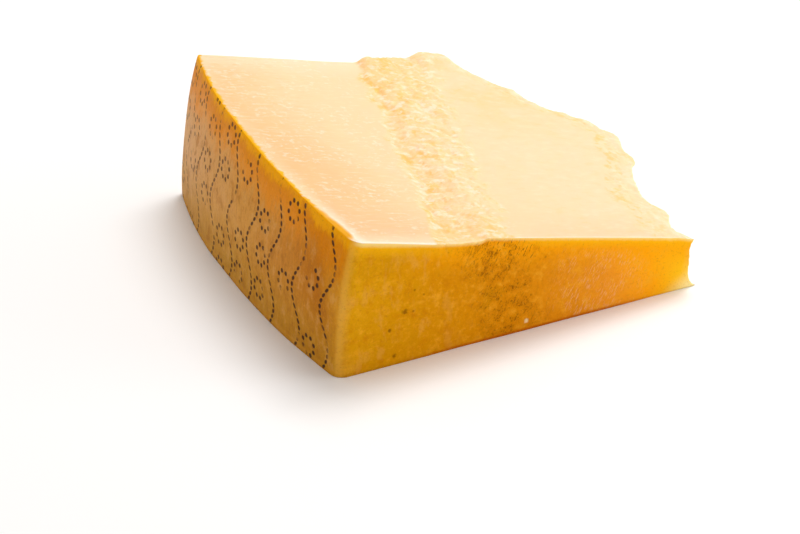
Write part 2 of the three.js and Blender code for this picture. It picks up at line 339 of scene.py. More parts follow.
# The flat rind: mustard at the side, orange towards the heart, with a speckled stain between
STAIN_LIMITS = [("stain_x", 52, 66), ("stain_x", 85, 76)]
FLAT_LAYERS = [
    # painted glow in orange under the upper cut, where light shines through the rind's edge, and olive low at
    # the side
    (FLAT_ORANGE_GLOW, 0.8, ("below_edge", 14, 2), ("x", 20, 45)),
    (FLAT_OLIVE, 0.5, ("z", 34, 5), ("x", 90, 15)),
    # mottles, specks, smudges and streaks
    (FLAT_BROWN, 0.5, ("mottle", 0.5, 0.72), ("x", 125, 70)),
    (FLAT_PALE, 0.45, ("mottle", 0.48, 0.3), ("x", 136, 120)),
    (FLAT_BROWN, 0.4, ("speck", 0.53, 0.7), ("x", 125, 70)),
    (FLAT_PALE, 0.35, ("speck", 0.46, 0.3), ("x", 136, 120)),
    (FLAT_OLIVE, 0.4, ("smudge", 0.52, 0.68), ("x", 84, 50)),
    (FLAT_TAN, 0.4, ("streaks", 0.52, 0.66), ("x", 64, 30)),
    # the stain: a tint, fine speckles and larger blots in clusters, then stray specks and dashes about it
    (FLAT_STAIN, 0.16, *STAIN_LIMITS, ("clusters", 0.4, 0.62, 0.125)),
    (FLAT_STAIN, 0.65, *STAIN_LIMITS, ("speckle", 0.52, 0.66), ("clusters", 0.4, 0.62, 0.154)),
    (FLAT_STAIN, 0.65, *STAIN_LIMITS, ("blots", 0.56, 0.66), ("clusters", 0.4, 0.62, 0.231)),
    (FLAT_STAIN, 0.5, "strays", ("x", 100, 70)),
    (FLAT_STAIN, 0.7, ("dashes", 0.56, 0.66), ("below_edge", 14, 5), ("x", 44, 56), ("x", 82, 72)),
    # scratches, a yellow painted glow under the upper cut, a painted contact shadow along the foot, and a
    # pale painted glow where light shines through the thin lip at the broken end
    (FLAT_SCRATCH, 0.5, "scratches"),
    (FLAT_RIM_GLOW, 0.75, ("below_edge", 7, 1), ("x", 60, 20)),
    (FLAT_RIM_GLOW, 0.8, ("below_edge", 5, 0.5), ("x", 62, 84)),
    (FLAT_FOOT_SHADOW, 0.7, ("z", 1.6, 0.5), ("x", 20, 50), ("x", 130, 100)),
    (FLAT_LIP_GLOW, 0.75, ("lip_x", 126, 140), ("z", 8, 1)),
]
STAIN_LEAN = 0.35  # how far the stain leans towards the side as it climbs
LIP_LEAN = 0.8  # how far the lip leans towards the heart as it climbs
STRAYS = {"size": 4.2, "radius": 0.16, "share": 0.4}
STRAY_FADE = 0.2  # how gradually strays are left out, in shares of their draws
STRAY_CORE = 0.4  # a stray is full up to this share of its radius
SCRATCH_LIMITS = [
    ("lines", 0.5, 0.68), ("patches", 0.36, 0.56), ("x", 78, 94), ("x", 126, 108), ("below_edge", 3, 9),
]

# Single spots and a chip on the flat rind: x, z, radius and colour
FLAT_SPOTS = [
    (25.6, 19.8, 1.6, FLAT_STAIN),
    (21.5, 3.5, 1.2, FLAT_STAIN),
    (19.9, 14.1, 1.0, FLAT_STAIN),
    (72.7, 3.7, 1.1, FLAT_CHIP),
]
SPOT_COVER = 0.7
SPOT_CORE = 0.2  # a spot is full up to this share of its radius

# The side rind: tan, paler towards the back and olive below, with painted glow under the upper cut and
# painted bounce light at the foot
SIDE_LAYERS = [
    (SIDE_OLIVE, 0.7, ("z", 30, 5)),
    (SIDE_BROWN, 0.28, ("weave", 0.5, 0.7)),
    (SIDE_PALE, 0.4, ("side_mottle", 0.5, 0.7)),
    (SIDE_BROWN, 0.5, ("side_mottle", 0.48, 0.32)),
    # painted bounce light from the floor along the foot
    (SIDE_FOOT_BOUNCE_LIGHT, 0.6, ("z", 3.5, 0.8)),
    # these three layers are painted glow where light shines through the rind under the upper cut, strongest
    # right under it
    (SIDE_GLOW, 0.7, ("below_glow", 22, 5), ("y", 18, 36)),
    (SIDE_ORANGE_GLOW, 0.85, ("below_strip", 15, 0)),
    (RIND_EDGE, 0.8, ("below_rim", 5.5, 0)),
]
STRIP_UNEVEN = {"side_mottle": 14, "weave": 8, "side_cloud": 16}  # how far noises shift the strip's border
STRIP_FRONT = (44, 3)  # the depths between which the strip grows wider towards the front
STRIP_WIDER = 5
RIM_EVEN = 0.7  # the rim's border is shifted by this share of the strip's shift

# The whole rind: a painted highlight on the rounded corner, fine grain, pressed dots, and a pale crest along
# the upper cut that is partly paste at the cut and partly a painted highlight
RIND_LAYERS = [
    (CORNER_HIGHLIGHT, 0.28, ("side", 0, 0.3), ("side", 0.7, 0.4)),
    (FLAT_PALE, 0.22, ("fine", 0.52, 0.7)),
    (SIDE_BROWN, 0.3, ("fine", 0.48, 0.3)),
    (MARK_INK, 0.9, "marks", ("y", 140, 50, 0.667)),
    (FLAT_CREST_PASTE_AND_HIGHLIGHT, 0.85, ("below_crest", 1.7, 0), ("side", 0.5, 0)),
]
SIDE_BLEND = (0.1, 0.9)  # the part of the rounded corner in which the flat rind goes over into the side
CREST_FRONT = (40, 14)  # the places between which the crest grows wider towards the side
CREST_WIDER = 0.6
CREST_UNEVEN = 0.8

# The design pressed into the side rind: dotted wavy lines with rings of dots between them
MARK_PITCH = 18  # from line to line
MARK_WAVE = 30  # the length of a line's waves
MARK_SWAY = 3  # how far they swing to either side
MARK_STEP = 2.4  # from dot to dot
MARK_HALF_WIDTH = 0.7
MARK_HALF_LENGTH = 0.9
MARK_EDGE = (1.4, 0.6)  # where a dot is absent and full, in squares of its radius
MARK_LIMITS = ["side", ("wear", 0.32, 0.48), ("y", 5, 7)]
RING_STEP = 13  # from ring to ring, upwards
RING_RADIUS = 3.6
RING_DOTS = 8
RING_DOT = 0.8  # the radius of its dots
RING_SHARE = 0.6  # how many of the places for a ring have one
RING_DRAW = 7  # sets the draws of one column apart from those of the next

# Small relief of the materials: fields and the heights, in millimetres, that they stand for
PASTE_BUMP = {"fine": 0.05, "split_fine": 0.06, "coarse": 0.08}
RIND_BUMP = {"fine": 0.06, "mottle": 0.15, "side_weave": 0.14, "marks": -0.4, "scratches": -0.06}

# The sockets of a node that mixes two colours
MIX_AMOUNT = 0
MIX_UNDER = 6
MIX_OVER = 7
MIX_RESULT = 2

# The camera, the lights and the floor
CAMERA_PLACE = (-343.49, -726.40, 499.12)
CAMERA_YAW = 0.468
CAMERA_PITCH = 0.5157
CAMERA_LENS = 126
CAMERA_REACH = 60000  # how far it sees
SENSOR_WIDTH = 36
FLOOR_SIZE = 6000
FLOOR_DROP = 0.05  # keeps the floor just clear of the lower cut
FLOOR_COLOUR = (0.95, 0.962, 0.975, 1.0)  # a cool white that evens out the warm sky
SKY_COLOUR = (1.0, 0.945, 0.89, 1.0)
SKY_STRENGTH = 0.597
KEY_LIGHT = {"direction": (0.33, 0.22, 0.92), "distance": 1400, "size": 650, "watts": 12}
FILL_LIGHT = {"direction": (0.8, -0.6, 0.3), "distance": 700, "size": 400, "watts": 1.15}


def clamp(t):
    return np.clip(t, 0, 1)


def lerp(a, b, t):
    return a + (b - a) * t


def smoothstep(t, low, high):
    t = clamp((t - low) / (high - low))
    return t * t * (3 - 2 * t)


def chance(i, j, k=0):
    """A repeatable random number from 0 to 1 for a whole-number place, from the far digits of a sine."""
    s = np.sin(i * 127.1 + j * 311.7 + k * 74.7) * 43758.5453
    return s - np.floor(s)


def hills(x, y):
    """Smooth random hills between about -1 and 1, one to each unit. Adding to a place picks other hills."""
    i = np.floor(x)
    j = np.floor(y)
    fx = x - i
    fy = y - j

    def pull(di, dj):
        angle = 2 * np.pi * chance(i + di, j + dj)
        return np.cos(angle) * (fx - di) + np.sin(angle) * (fy - dj)

    def ease(t):
        return t * t * t * (t * (t * 6 - 15) + 10)

    low = lerp(pull(0, 0), pull(1, 0), ease(fx))
    high = lerp(pull(0, 1), pull(1, 1), ease(fx))
    return HILL_HEIGHT * lerp(low, high, ease(fy))


def rough(x, y, size):
    """Hills of the given size with hills of half their size and height on them."""
    return hills(x / size, y / size) + 0.5 * hills(2 * x / size + 17, 2 * y / size + 5)


def flakes(x, y, size):
    """Sharp-crested flakes, longer along the first direction than across it and a little askew."""
    across = (y + x * FLAKE_SKEW) / size["across"]
    return 1 - FLAKE_STEEPNESS * np.abs(hills(x / size["along"] + 3, across + 8))


def grains(points, size):
    """Packed round grains: 1 on their tops, falling towards 0 in the cracks between them."""
    place = points / size
    cell = np.floor(place)
    nearest = np.full(len(points), np.inf)
    for step in itertools.product((-1, 0, 1), repeat=3):
        i, j, k = (cell + step).T
        core = np.stack([i + chance(i, j, k), j + chance(j, k, i), k + chance(k, i, j)], axis=1)
        nearest = np.minimum(nearest, ((place - core) ** 2).sum(axis=1))
    return clamp(1 - nearest)


def curve_through(pairs, place):
    """A smooth curve through (place, value) pairs."""
    places, values = np.array(pairs, float).T
    before = np.maximum(np.arange(len(pairs)) - 1, 0)
    after = np.minimum(np.arange(len(pairs)) + 1, len(pairs) - 1)
    slopes = (values[after] - values[before]) / (places[after] - places[before])
    k = np.clip(np.searchsorted(places, place) - 1, 0, len(pairs) - 2)
    gap = places[k + 1] - places[k]
    t = clamp((place - places[k]) / gap)
    climb = lerp(values[k], values[k + 1], t * t * (3 - 2 * t))
    bend = t * (1 - t) * gap
    return climb + bend * ((1 - t) * slopes[k] - t * slopes[k + 1])


def side_rind(y, z):
    """The wheel's round, bowed side, rounded off towards the flat rind."""
    away = np.abs(y - BELLY_DEPTH) / BELLY_DEPTH
    radius = WHEEL_RADIUS + BELLY * (1 - away**BELLY_POWER)
    from_corner = np.minimum(1, y / RIND_CORNER)
    corner = RIND_CORNER * (1 - np.sqrt(1 - (1 - from_corner) ** 2))
    dent = RIND_DENT * np.maximum(0, hills(y / RIND_DENT_SIZE, z / RIND_DENT_SIZE + 4))
    return WHEEL_RADIUS - np.sqrt(radius * radius - z * z) + corner + dent


def tear_border(border, y):
    return border["front"] + border["lean"] * y + border["flare"] * y * y


def break_edge(y):
    return curve_through(BREAK_EDGE, y)


def crumble_start(y):
    return break_edge(y) - lerp(CRUMBLE_WIDTH["front"], CRUMBLE_WIDTH["back"], y / DEPTH)


def rough_start(y):
    return tear_border(TEAR_LEFT, y) - TEAR_MARGIN


def rough_end(y):
    return np.minimum(tear_border(TEAR_RIGHT, y) + TEAR_MARGIN, crumble_start(y) - SMOOTH_LEAST)


def broken_end(y, z, w):
    """The broken end at height z, a share w of the full height: hollow and craggy below its upper edge."""
    below = np.sqrt(1 - w)
    hollow = BREAK_HOLLOW * (1 - (2 * w - 1) ** BREAK_LIP_POWER)
    foot = BREAK_FOOT * (1 - w) ** (2 * BREAK_LIP_POWER)
    crags = BREAK_CRAG * rough(y, z, BREAK_CRAG_SIZE) + BREAK_FLAKE * flakes(z, y, BREAK_FLAKE_SIZE)
    return break_edge(y) - hollow + foot + below * smoothstep(y, 0, BREAK_CALM) * crags


def tear_across(x, y):
    """The place across the tear, from 0 at its left border to 1 at its right one."""
    left = tear_border(TEAR_LEFT, y)
    width = tear_border(TEAR_RIGHT, y) - left
    return (x - left) / width + TEAR_RAGGED * hills(x / TEAR_RAGGED_SIZE, y / TEAR_RAGGED_SIZE)


def tear(x, y):
    """The step between the halves, how torn the ground is from 0 to 1, and the relief of torn ground."""
    left = tear_border(TEAR_LEFT, y)
    across = tear_across(x, y)
    share = y / DEPTH
    place = lerp(STEP_PLACE["front"], STEP_PLACE["back"], share)
    inside = 1 - share**FACE_FADE - (1 - share) ** FACE_FADE
    half_width = lerp(STEP_HALF_WIDTH["face"], STEP_HALF_WIDTH["inside"], inside)
    climb = smoothstep(across, place - half_width, place + half_width)
    climbed = lerp(climb, smoothstep(across, 0, place), STEP_RAMP)
    lift = CUT_LIFT * np.maximum(0, x - left) * (1 - share)
    torn = smoothstep(across, 0, TEAR_FADE) * (1 - smoothstep(across, 1 - TEAR_FADE, 1))
    lumps = TEAR_LUMP * rough(x, y, TEAR_LUMP_SIZE) + TEAR_FLAKE * flakes(x, y, TEAR_FLAKE_SIZE)
    relief = lumps - TEAR_TROUGH * (1 - clamp(across))
    return climbed * (CUT_STEP + lift), torn, inside * relief


def crumble(x, y):
    """How worn the ground beside the broken end is, from 0 to 1, and its relief."""
    start = crumble_start(y)
    worn = clamp((x - start) / (break_edge(y) - start))
    return worn, CRUMBLE_LUMP * rough(x + 40, y, TEAR_LUMP_SIZE) - CRUMBLE_DROP * worn


def knob_at(x):
    """How much of the knob there is at a place along the back, from 0 to 1."""
    return np.exp(-(((x - KNOB["x"]) / KNOB["radius"]) ** KNOB["power"]))


def upper_cut(x, y):
    """The height of the upper cut."""
    plane = CUT_SLOPE * (WHEEL_RADIUS - x) + CUT_RISE * y
    wave = CUT_WAVE * hills(x / CUT_WAVE_SIZE, y / CUT_WAVE_SIZE)
    knob = KNOB["height"] * knob_at(x) * np.exp(-(((DEPTH - y) / KNOB["depth"]) ** 2))
    step, torn, tear_relief = tear(x, y)
    worn, crumble_relief = crumble(x, y)
    return plane + wave + knob + step + torn * tear_relief + worn * crumble_relief


def uneven_depth(x, y, z):
    """The depth y with the dents of the flat rind and the waves and knob of the cut at the back."""
    dent = RIND_DENT * np.maximum(0, hills(x / RIND_DENT_SIZE + 9, z / RIND_DENT_SIZE))
    back = KNOB["reach"] * knob_at(x) + BACK_WAVE * hills(x / BACK_WAVE_SIZE, z / BACK_WAVE_SIZE + 2)
    share = y / DEPTH
    return y + dent * (1 - share) ** FACE_FADE + back * share**FACE_FADE


def chunk_points(u, y, w):
    """The chunk's points at places u (a strip and the share across), depths y and shares w of the height."""
    strip = np.minimum(STRIPS - 1, u.astype(int))
    each = np.arange(len(u))
    z = np.zeros(len(u))
    for _ in range(SETTLE_ROUNDS):
        borders = np.stack([
            side_rind(y, z), rough_start(y), rough_end(y), crumble_start(y), broken_end(y, z, w),
        ])
        x = lerp(borders[strip, each], borders[strip + 1, each], u - strip)
        z = w * upper_cut(x, y)
    return np.stack([x, uneven_depth(x, y, z), z], axis=1)


def grid_lines():
    """The places of the grid lines across, the depths along, and the shares of the height."""
    first, *others = LINES_ACROSS
    strips = [np.linspace(0, 1, first + 1) ** CROWD_RIND]
    strips += [k + np.linspace(0, 1, count + 1)[1:] for k, count in enumerate(others, 1)]
    turns = np.arange(LINES_ROUND_CORNER) / LINES_ROUND_CORNER * (np.pi / 2)
    corner = RIND_CORNER * (1 - np.cos(turns))
    along = np.concatenate([corner, np.linspace(RIND_CORNER, DEPTH, LINES_ALONG + 1)])
    up = 1 - (1 - np.linspace(0, 1, LINES_UP + 1)) ** CROWD_TOP
    return np.concatenate(strips), along, up


class Shell:
    """The chunk's surface as the outside of a box of grid lines, in the solid's form."""

    def __init__(self):
        self.across, self.along, self.up = grid_lines()
        columns = np.arange(len(self.across))
        rows = np.arange(len(self.along))
        levels = np.arange(len(self.up))
        right, back, top = columns[-1], rows[-1], levels[-1]
        numbers = {
            "upper_cut": self.number(columns[:, None], rows[None, :], top),
            "side_rind": self.number(0, rows[::-1, None], levels[None, :]),
            "flat_rind": self.number(columns[:, None], 0, levels[None, :]),
            "broken_end": self.number(right, rows[:, None], levels[None, :]),
            "back_cut": self.number(columns[::-1, None], back, levels[None, :]),
        }
        used = np.unique(np.concatenate([sheet.ravel() for sheet in numbers.values()]))
        self.sheets = {name: np.searchsorted(used, sheet) for name, sheet in numbers.items()}
        walls = ("flat_rind", "broken_end", "back_cut", "side_rind")
        self.rim = np.concatenate([self.sheets[name][:-1, 0] for name in walls])
        i, rest = np.divmod(used, len(rows) * len(levels))
        j, k = np.divmod(rest, len(levels))
        self.u = self.across[i]
        self.y = self.along[j]
        self.w = self.up[k]
        sides = (i == 0).astype(int) + (i == right) + (j == 0) + (j == back) + (k == top)
        round_corner = (i == 0) & (j == 0) & (k < top)
        self.on_edge = (sides > 1) & ~round_corner & (k > 0)
        self.points = chunk_points(self.u, self.y, self.w)

    def number(self, i, j, k):
        """The numbers of a sheet's points, counted through the whole box of lines."""
        i, j, k = np.broadcast_arrays(i, j, k)
        return (i * len(self.along) + j) * len(self.up) + k

    def quads(self, name):
        """The four-sided faces of a sheet, facing outwards."""
        sheet = self.sheets[name]
        corners = [sheet[:-1, :-1], sheet[1:, :-1], sheet[1:, 1:], sheet[:-1, 1:]]
        return np.stack(corners, axis=-1).reshape(-1, 4)


def beside(values, quads):
    """The mean of each point's neighbours along the sides of the faces."""
    ends = np.concatenate([quads, np.roll(quads, 1, axis=1)]).ravel()
    others = np.concatenate([np.roll(quads, 1, axis=1), quads]).ravel()
    count = np.bincount(ends, minlength=len(values))
    columns = values.reshape(len(values), -1).T
    total = [np.bincount(ends, weights=column[others], minlength=len(values)) for column in columns]
    return (np.stack(total, axis=1) / count[:, None]).reshape(values.shape)


def soften_edges(points, on_edge, quads):
    """The points with the edges of the cuts rounded a little."""
    softness = on_edge.astype(float)
    for _ in range(EDGE_SPREAD):
        softness = np.maximum(softness, np.minimum(1, 2 * beside(softness, quads)))
    for _ in range(EDGE_ROUNDS):
        points = points + EDGE_PULL * softness[:, None] * (beside(points, quads) - points)
    return points


def point_normals(points, quads):
    """The outward direction at each point, from the faces around it."""
    a, b, c, d = (points[quads[:, n]] for n in range(4))
    facing = np.cross(c - a, d - b)
    total = [np.bincount(quads.ravel(), np.repeat(facing[:, n], 4), len(points)) for n in range(3)]
    normals = np.stack(total, axis=1)
    return normals / np.linalg.norm(normals, axis=1)[:, None]


def grainy_tear(x, y):
    """Where the tear shows bare grains, from 0 to 1: clean at its left border, frayed at the right one."""
    across = tear_across(x, y)
    fray = GRAIN_FRAY * rough(x, y, GRAIN_FRAY_SIZE)
    return smoothstep(across, -GRAIN_START, GRAIN_START) * (1 - smoothstep(across + fray, *GRAIN_END))


def broken_face(shell):
    """Where the face of the broken end lies bare, from 0 to 1."""
    from_ends = smoothstep(shell.y, 0, BREAK_CALM) * smoothstep(DEPTH - shell.y, 0, BREAK_CALM)
    return (shell.u == STRIPS) * smoothstep(1 - shell.w, *END_START) * from_ends


def split_ground(shell):
    """Where the paste has split instead of being cut, is worn, and is broken, from 0 to 1, and its relief."""
    x = shell.points[:, 0]
    _, torn, tear_relief = tear(x, shell.y)
    worn, crumble_relief = crumble(x, shell.y)
    near_rim = smoothstep(shell.w, RIM_MARGIN, 1)
    on_cut = near_rim * np.maximum(grainy_tear(x, shell.y), smoothstep(worn, 0, GRAIN_WORN))
    at_end = clamp((shell.u - (STRIPS - END_MARGIN)) / END_MARGIN)
    return {
        "split": np.maximum(on_cut, at_end),
        "worn": near_rim * worn,
        "relief": near_rim * (torn * tear_relief + worn * crumble_relief),
        "broken": broken_face(shell),
    }


def grain_relief(points):
    """The height of the grains of split paste above or below its surface."""
    x, y, z = points.T
    sway = GRAIN_WARP * np.stack([
        hills(x / GRAIN_WARP_SIZE, (y + z) / GRAIN_WARP_SIZE + 31),
        hills((x + z) / GRAIN_WARP_SIZE + 31, y / GRAIN_WARP_SIZE),
        np.zeros(len(points)),
    ], axis=1)
    place = points + sway
    heights = [h * (grains(place, s) - GRAIN_MIDDLE) for s, h in zip(GRAIN_SIZES, GRAIN_HEIGHTS)]
    return sum(heights)


def dressed_points(shell, quads, ground):
    """The shell's points with softened edges and grains on split ground, and the height of the grains."""
    split, broken = ground["split"], ground["broken"]
    points = soften_edges(shell.points, shell.on_edge, quads)
    grain = np.zeros(len(points))
    grain[split > 0] = grain_relief(points[split > 0])
    grain *= split * (1 + END_GRAIN * broken)
    grain += END_RIDGE * broken * flakes(points[:, 2], points[:, 1], END_RIDGE_SIZE)
    points = points + grain[:, None] * point_normals(points, quads)
    points[:, 2] = np.where(shell.w > 0, np.maximum(points[:, 2], 0), 0)
    return points, grain


def close_below(points, rim):
    """The points with the middle of the lower cut added, and the faces that fan out from it to the rim."""
    middle = [*points[rim, :2].mean(axis=0), 0]
    fan = np.stack([np.full(len(rim), len(points)), np.roll(rim, -1), rim], axis=1)
    return np.concatenate([points, [middle]]), fan


def make_mesh(points, faces, shift):
    """The sheets of faces as one mesh, with paste or rind for each sheet and its chart for textures."""
    mesh = bpy.data.meshes.new("cheese_chunk")
    corners = [face for sheet in faces.values() for face in sheet.tolist()]
    mesh.from_pydata((points + shift) * MM, [], corners)
    counts = [len(sheet) for sheet in faces.values()]
    is_rind = [name in RIND_SHEETS for name in faces]
    is_smooth = [name != "lower_cut" for name in faces]
    mesh.polygons.foreach_set("material_index", np.repeat(is_rind, counts).astype(np.int32))
    mesh.polygons.foreach_set("use_smooth", np.repeat(is_smooth, counts))
    places = []
    for name, sheet in faces.items():
        axes, origin = CHARTS[name]
        places.append((points[sheet][:, :, axes] + origin).reshape(-1, 2))
    chart = mesh.uv_layers.new(name="OFBake")
    chart.data.foreach_set("uv", (np.concatenate(places) / CHART_SPAN).ravel())
    return mesh


def build_chunk(shell, shift):
    """The chunk as one closed mesh, with what its materials need to know at each point."""
    sheets = {name: shell.quads(name) for name in shell.sheets}
    quads = np.concatenate(list(sheets.values()))
    ground = split_ground(shell)
    points, grain = dressed_points(shell, quads, ground)
    points, fan = close_below(points, shell.rim)
    mesh = make_mesh(points, {**sheets, "lower_cut": fan}, shift)
    looks = {
        **ground,
        "relief": ground["relief"] + grain,
        "below_edge": (1 - shell.w) * upper_cut(shell.points[:, 0], shell.y),
        "side_depth": shell.points[:, 0] - side_rind(shell.y, shell.points[:, 2]),
        "side": (shell.u == 0) * clamp(shell.y / RIND_CORNER),
    }
    for name, values in looks.items():
        layer = mesh.attributes.new(name, "FLOAT", "POINT")
        layer.data.foreach_set("value", np.append(values, 0).astype(np.float32))
    layer = mesh.attributes.new("place", "FLOAT_VECTOR", "POINT")
    layer.data.foreach_set("vector", points.astype(np.float32).ravel())
    mesh.update()
    return mesh


class Value:
    """A number that a material works out at each point of the surface, for use in formulas."""

    def __init__(self, socket):
        self.socket = socket

    def calc(self, operation, *others):
        node = self.socket.id_data.nodes.new("ShaderNodeMath")
        node.operation = operation
        for slot, value in zip(node.inputs, (self, *others)):
            connect(slot, value)
        return Value(node.outputs[0])

    def __add__(self, other):
        return self.calc("ADD", other)

    def __sub__(self, other):
        return self.calc("SUBTRACT", other)

    def __mul__(self, other):
        return self.calc("MULTIPLY", other)

    def __truediv__(self, other):
        return self.calc("DIVIDE", other)

    __radd__ = __add__
    __rmul__ = __mul__

    def __rsub__(self, other):
        return self * -1 + other

    def ramp(self, absent, full, least=0.0):
        """A smooth climb from the least share, at the value absent, to 1 at the value full."""
        node = self.socket.id_data.nodes.new("ShaderNodeMapRange")
        node.interpolation_type = "SMOOTHSTEP"
        connect(node.inputs["Value"], self)
        (low, at_low), (high, at_high) = sorted([(absent, least), (full, 1.0)])
        node.inputs["From Min"].default_value = low
        node.inputs["From Max"].default_value = high
        node.inputs["To Min"].default_value = at_low
        node.inputs["To Max"].default_value = at_high
        return Value(node.outputs[0])


def connect(slot, value):
    """Puts a value, a socket or a constant into a node's input."""
    if isinstance(value, Value):
        value = value.socket
    if isinstance(value, bpy.types.NodeSocket):
        slot.id_data.links.new(value, slot)
    else:
        slot.default_value = value


def colour(steps):
    """A colour given in sRGB steps of 0 to 255 as the linear values that a shader takes."""
    shares = [step / 255 for step in steps]
    linear = [v / 12.92 if v <= 0.04045 else ((v + 0.055) / 1.055) ** 2.4 for v in shares]
    return (*linear, 1.0)


class Painter:
    """Adds the nodes of one material. Its fields are numbers that vary over the surface, each with a name."""

    def __init__(self, name, noises):
        self.material = bpy.data.materials.new(name)
        self.material.use_nodes = True
        self.tree = self.material.node_tree
        self.tree.nodes.clear()
        self.noises = noises
        self.place = self.node("ShaderNodeAttribute", {}, attribute_name="place").outputs["Vector"]
        axes = self.node("ShaderNodeSeparateXYZ", {"Vector": self.place}).outputs
        self.fields = {axis: Value(socket) for axis, socket in zip("xyz", axes)}

    def __getitem__(self, name):
        """The field of that name: one that is there, a noise of the material, or a look of the mesh."""
        if name not in self.fields:
            is_noise = name in self.noises
            self.fields[name] = self.noise(**self.noises[name]) if is_noise else self.look(name)
        return self.fields[name]

    def __setitem__(self, name, value):
        self.fields[name] = value

    def node(self, kind, inputs, **settings):
        node = self.tree.nodes.new(kind)
        for name, value in settings.items():
            setattr(node, name, value)
        for name, value in inputs.items():
            connect(node.inputs[name], value)
        return node

    def look(self, name):
        """One of the mesh's own numbers."""
        return Value(self.node("ShaderNodeAttribute", {}, attribute_name=name).outputs["Fac"])

    def scaled(self, size, lean=0.0):
        """The place in shares of a size: one length, or one for each axis, and the lean from z to x."""
        sizes = size if isinstance(size, tuple) else (size, size, size)
        turn = {"Vector": self.place, "Angle": -lean}
        leant = self.node("ShaderNodeVectorRotate", turn, rotation_type="Y_AXIS").outputs[0]
        shares = tuple(1 / s for s in sizes)
        return self.node("ShaderNodeVectorMath", {0: leant, 1: shares}, operation="MULTIPLY").outputs[0]

    def noise(self, size, detail=2.0, roughness=0.5, lean=0.0):
        """Cloudy noise from 0 to 1 about 0.5."""
        inputs = {"Vector": self.scaled(size, lean), "Scale": 1.0, "Detail": detail, "Roughness": roughness}
        return Value(self.node("ShaderNodeTexNoise", inputs).outputs[0])

    def sway(self, name, reach):
        """A noise as a shift to either side of 0; the reach is its whole span."""
        return (self[name] - 0.5) * reach

    def strays(self, size, radius, share):
        """Small scattered specks: 1 in each; radius is a share of their size and share says how many."""
        node = self.node("ShaderNodeTexVoronoi", {"Vector": self.scaled(size), "Scale": 1.0})
        pick = self.node("ShaderNodeSeparateColor", {"Color": node.outputs["Color"]})
        chosen = Value(pick.outputs[0]).ramp(1 - share, 1 - share + STRAY_FADE)
        return Value(node.outputs["Distance"]).ramp(radius, STRAY_CORE * radius) * chosen

    def dice(self, number):
        """A random number from 0 to 1 for each whole number."""
        node = self.node("ShaderNodeTexWhiteNoise", {"W": number}, noise_dimensions="1D")
        return Value(node.outputs["Value"])

    def amount(self, most, limits):
        """How much a layer covers: the most that it does, cut down by each of its limits."""
        total = most
        for limit in limits:
            if isinstance(limit, str):
                total = self[limit] * total
            else:
                name, *ends = limit
                total = self[name].ramp(*ends) * total
        return total

    def mix(self, amount, under, over):
        """The first shade where the amount is 0 and the second where it is 1."""
        inputs = {MIX_AMOUNT: amount, MIX_UNDER: under, MIX_OVER: over}
        return self.node("ShaderNodeMix", inputs, data_type="RGBA").outputs[MIX_RESULT]

    def lay(self, shade, layers):
        """The shade with layers of colour over it."""
        for steps, most, *limits in layers:
            shade = self.mix(self.amount(most, limits), shade, colour(steps))
        return shade

    def gradient(self, value, stops):
        """Colours at given values, blended in between."""
        low, high = stops[0][0], stops[-1][0]
        node = self.node("ShaderNodeValToRGB", {"Fac": (value - low) / (high - low)})
        elements = node.color_ramp.elements
        for _ in stops[2:]:
            elements.new(0.5)
        for element, (place, steps) in zip(elements, stops):
            element.position = (place - low) / (high - low)
            element.color = colour(steps)
        return node.outputs[0]

    def bump(self, heights):
        """A normal for small relief, from fields with their heights."""
        relief = sum(self[name] * height for name, height in heights.items())
        inputs = {"Height": relief * MM, "Distance": 1.0, "Strength": 1.0}
        return self.node("ShaderNodeBump", inputs).outputs[0]

    def finish(self, **inputs):
        """Ends the material in one surface shader; the inputs' names have _ for spaces."""
        named = {name.replace("_", " "): value for name, value in inputs.items()}
        shader = self.node("ShaderNodeBsdfPrincipled", named)
        self.node("ShaderNodeOutputMaterial", {"Surface": shader.outputs[0]})
        return self.material


def paste_rim(paint):
    """Where the rind shows on the upper cut, from 0 to 1: frayed at the back, bulging at the corner."""
    y = paint["y"]
    at_corner = y.ramp(*RIM_TURN)
    fray = paint.sway("fray", 1) * (RIM_FRAY["back"] - at_corner * (RIM_FRAY["back"] - RIM_FRAY["corner"]))
    inwards = paint["side_depth"] + fray
    bulge = paint.amount(RIM_BULGE, RIM_BULGE_LIMITS)
    back = inwards.ramp(*RIM_WIDTH["back"]) * (1 - at_corner)
    corner = (inwards - bulge).ramp(*RIM_WIDTH["corner"]) * at_corner * y.ramp(*RIM_START)
    return back + corner


def paste_material():
    """The grainy inside of the cheese."""
    paint = Painter("paste", PASTE_NOISES)
    paint["tear_x"] = paint["x"] - paint["y"] * TEAR_LEFT["lean"]
    paint["calm"] = paint["split"] * (1 - paint["worn"] * WORN_CALM)
    paint["rim"] = paste_rim(paint)
    paint["split_fine"] = paint["split"] * paint["fine"]
    shade = paint.gradient(paint["side_depth"] + paint.sway("cloud", PASTE_SWAY), PASTE_SHADES)
    for layers in (CUT_LAYERS, SPLIT_LAYERS, BROKEN_LAYERS, RIM_LAYERS):
        shade = paint.lay(shade, layers)
    return paint.finish(
        Base_Color=shade,
        Roughness=0.5,
        Specular_IOR_Level=0.15,
        Subsurface_Weight=0.7,
        Subsurface_Radius=(1.0, 0.75, 0.45),
        Subsurface_Scale=1.6 * MM,
        Normal=paint.bump(PASTE_BUMP),
    )


